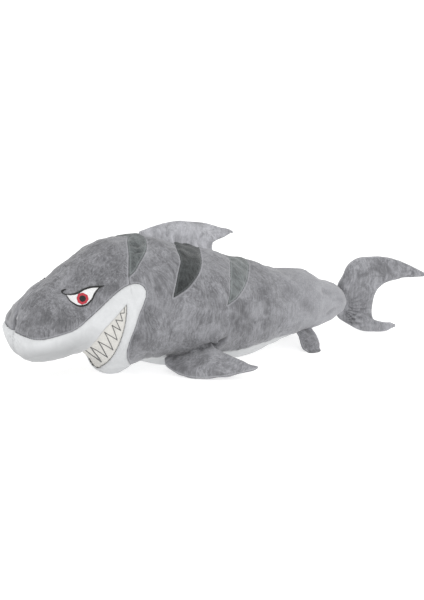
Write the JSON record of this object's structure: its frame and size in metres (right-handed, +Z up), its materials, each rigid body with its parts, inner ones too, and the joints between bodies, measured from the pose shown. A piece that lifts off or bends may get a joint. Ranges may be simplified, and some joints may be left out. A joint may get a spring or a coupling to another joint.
{
  "type": "plush shark",
  "caption": "Stuffed plush shark of sewn grey and white plush panels, with dark side stripes, a zigzag-stitched mouth and padded fins that flop on their base seams.",
  "frame": {"origin": "centre of the bounding box in X and Y, on the floor the shark rests on", "axes": "+X from nose to tail, -Y the shark's left side, +Z up"},
  "size_m": [0.9458, 0.4234, 0.2845],
  "materials": {
    "grey_plush": "short-pile grey velboa plush with crushed, mottled nap",
    "head_plush": "short-pile darker grey plush with crushed nap",
    "dark_stripe_plush": "short-pile dark grey-green plush",
    "white_plush": "short-pile cool white plush",
    "mouth_fabric": "smooth beige-grey knitted fabric",
    "eye_white_thread": "dense white satin stitching",
    "iris_thread": "dense red satin stitching",
    "black_thread": "dense black satin stitching",
    "teeth_thread": "dark grey running stitch",
    "polyester_filling": "white hollow-fibre polyester wadding"
  },
  "bodies": {
    "torso": {"torso_filling": "polyester_filling", "head_panel_left": "head_plush", "head_panel_right": "head_plush", "side_panel_left": "grey_plush", "side_panel_right": "grey_plush", "stripe_front_left": "dark_stripe_plush", "stripe_front_right": "dark_stripe_plush", "stripe_middle_left": "dark_stripe_plush", "stripe_middle_right": "dark_stripe_plush", "stripe_rear_left": "dark_stripe_plush", "stripe_rear_right": "dark_stripe_plush", "white_face_panel_left": "white_plush", "white_face_panel_right": "white_plush", "mouth_patch": "mouth_fabric", "belly_panel": "white_plush", "eye_white_left": "eye_white_thread", "eye_white_right": "eye_white_thread", "eye_iris_left": "iris_thread", "eye_iris_right": "iris_thread", "eye_pupil_left": "black_thread", "eye_pupil_right": "black_thread", "eye_outline_left": "black_thread", "eye_outline_right": "black_thread", "teeth_stitching_left": "teeth_thread", "teeth_stitching_right": "teeth_thread"},
    "dorsal_fin": {"dorsal_fin_filling": "polyester_filling", "dorsal_fin_panel_left": "grey_plush", "dorsal_fin_panel_right": "grey_plush"},
    "pectoral_fin_left": {"pectoral_fin_left_filling": "polyester_filling", "pectoral_fin_left_lower": "grey_plush", "pectoral_fin_left_upper": "grey_plush"},
    "pelvic_fin_left": {"pelvic_fin_left_filling": "polyester_filling", "pelvic_fin_left_lower": "grey_plush", "pelvic_fin_left_upper": "grey_plush"},
    "pectoral_fin_right": {"pectoral_fin_right_filling": "polyester_filling", "pectoral_fin_right_lower": "grey_plush", "pectoral_fin_right_upper": "grey_plush"},
    "pelvic_fin_right": {"pelvic_fin_right_filling": "polyester_filling", "pelvic_fin_right_lower": "grey_plush", "pelvic_fin_right_upper": "grey_plush"},
    "tail_fin": {"tail_fin_filling": "polyester_filling", "tail_fin_panel_left": "grey_plush", "tail_fin_panel_right": "grey_plush"}
  },
  "joints": [
    {"name": "dorsal_fin_flop", "type": "hinge", "parent": "torso", "child": "dorsal_fin", "pos_m": [-0.18798, 0, 0.2698], "axis": [0.9661, 0, -0.258], "range_deg": [-15, 70], "stiffness_Nm_per_rad": 0.12},
    {"name": "pectoral_fin_left_flap", "type": "hinge", "parent": "torso", "child": "pectoral_fin_left", "pos_m": [-0.17498, -0.076, 0.022], "axis": [0.8935, -0.3496, 0.2817], "range_deg": [-35, 15], "stiffness_Nm_per_rad": 0.15},
    {"name": "pectoral_fin_right_flap", "type": "hinge", "parent": "torso", "child": "pectoral_fin_right", "pos_m": [-0.17498, 0.076, 0.022], "axis": [-0.8935, -0.3496, -0.2817], "range_deg": [-35, 15], "stiffness_Nm_per_rad": 0.15},
    {"name": "pelvic_fin_left_flap", "type": "hinge", "parent": "torso", "child": "pelvic_fin_left", "pos_m": [0.15002, -0.056, 0.03], "axis": [0.9747, 0.1999, 0.0999], "range_deg": [-45, 15], "stiffness_Nm_per_rad": 0.04},
    {"name": "pelvic_fin_right_flap", "type": "hinge", "parent": "torso", "child": "pelvic_fin_right", "pos_m": [0.15002, 0.056, 0.03], "axis": [-0.9747, 0.1999, -0.0999], "range_deg": [-45, 15], "stiffness_Nm_per_rad": 0.04},
    {"name": "tail_fin_swing", "type": "hinge", "parent": "torso", "child": "tail_fin", "pos_m": [0.30352, 0, 0.085], "axis": [0, 0, 1], "range_deg": [-28, 40], "stiffness_Nm_per_rad": 0.2}
  ]
}
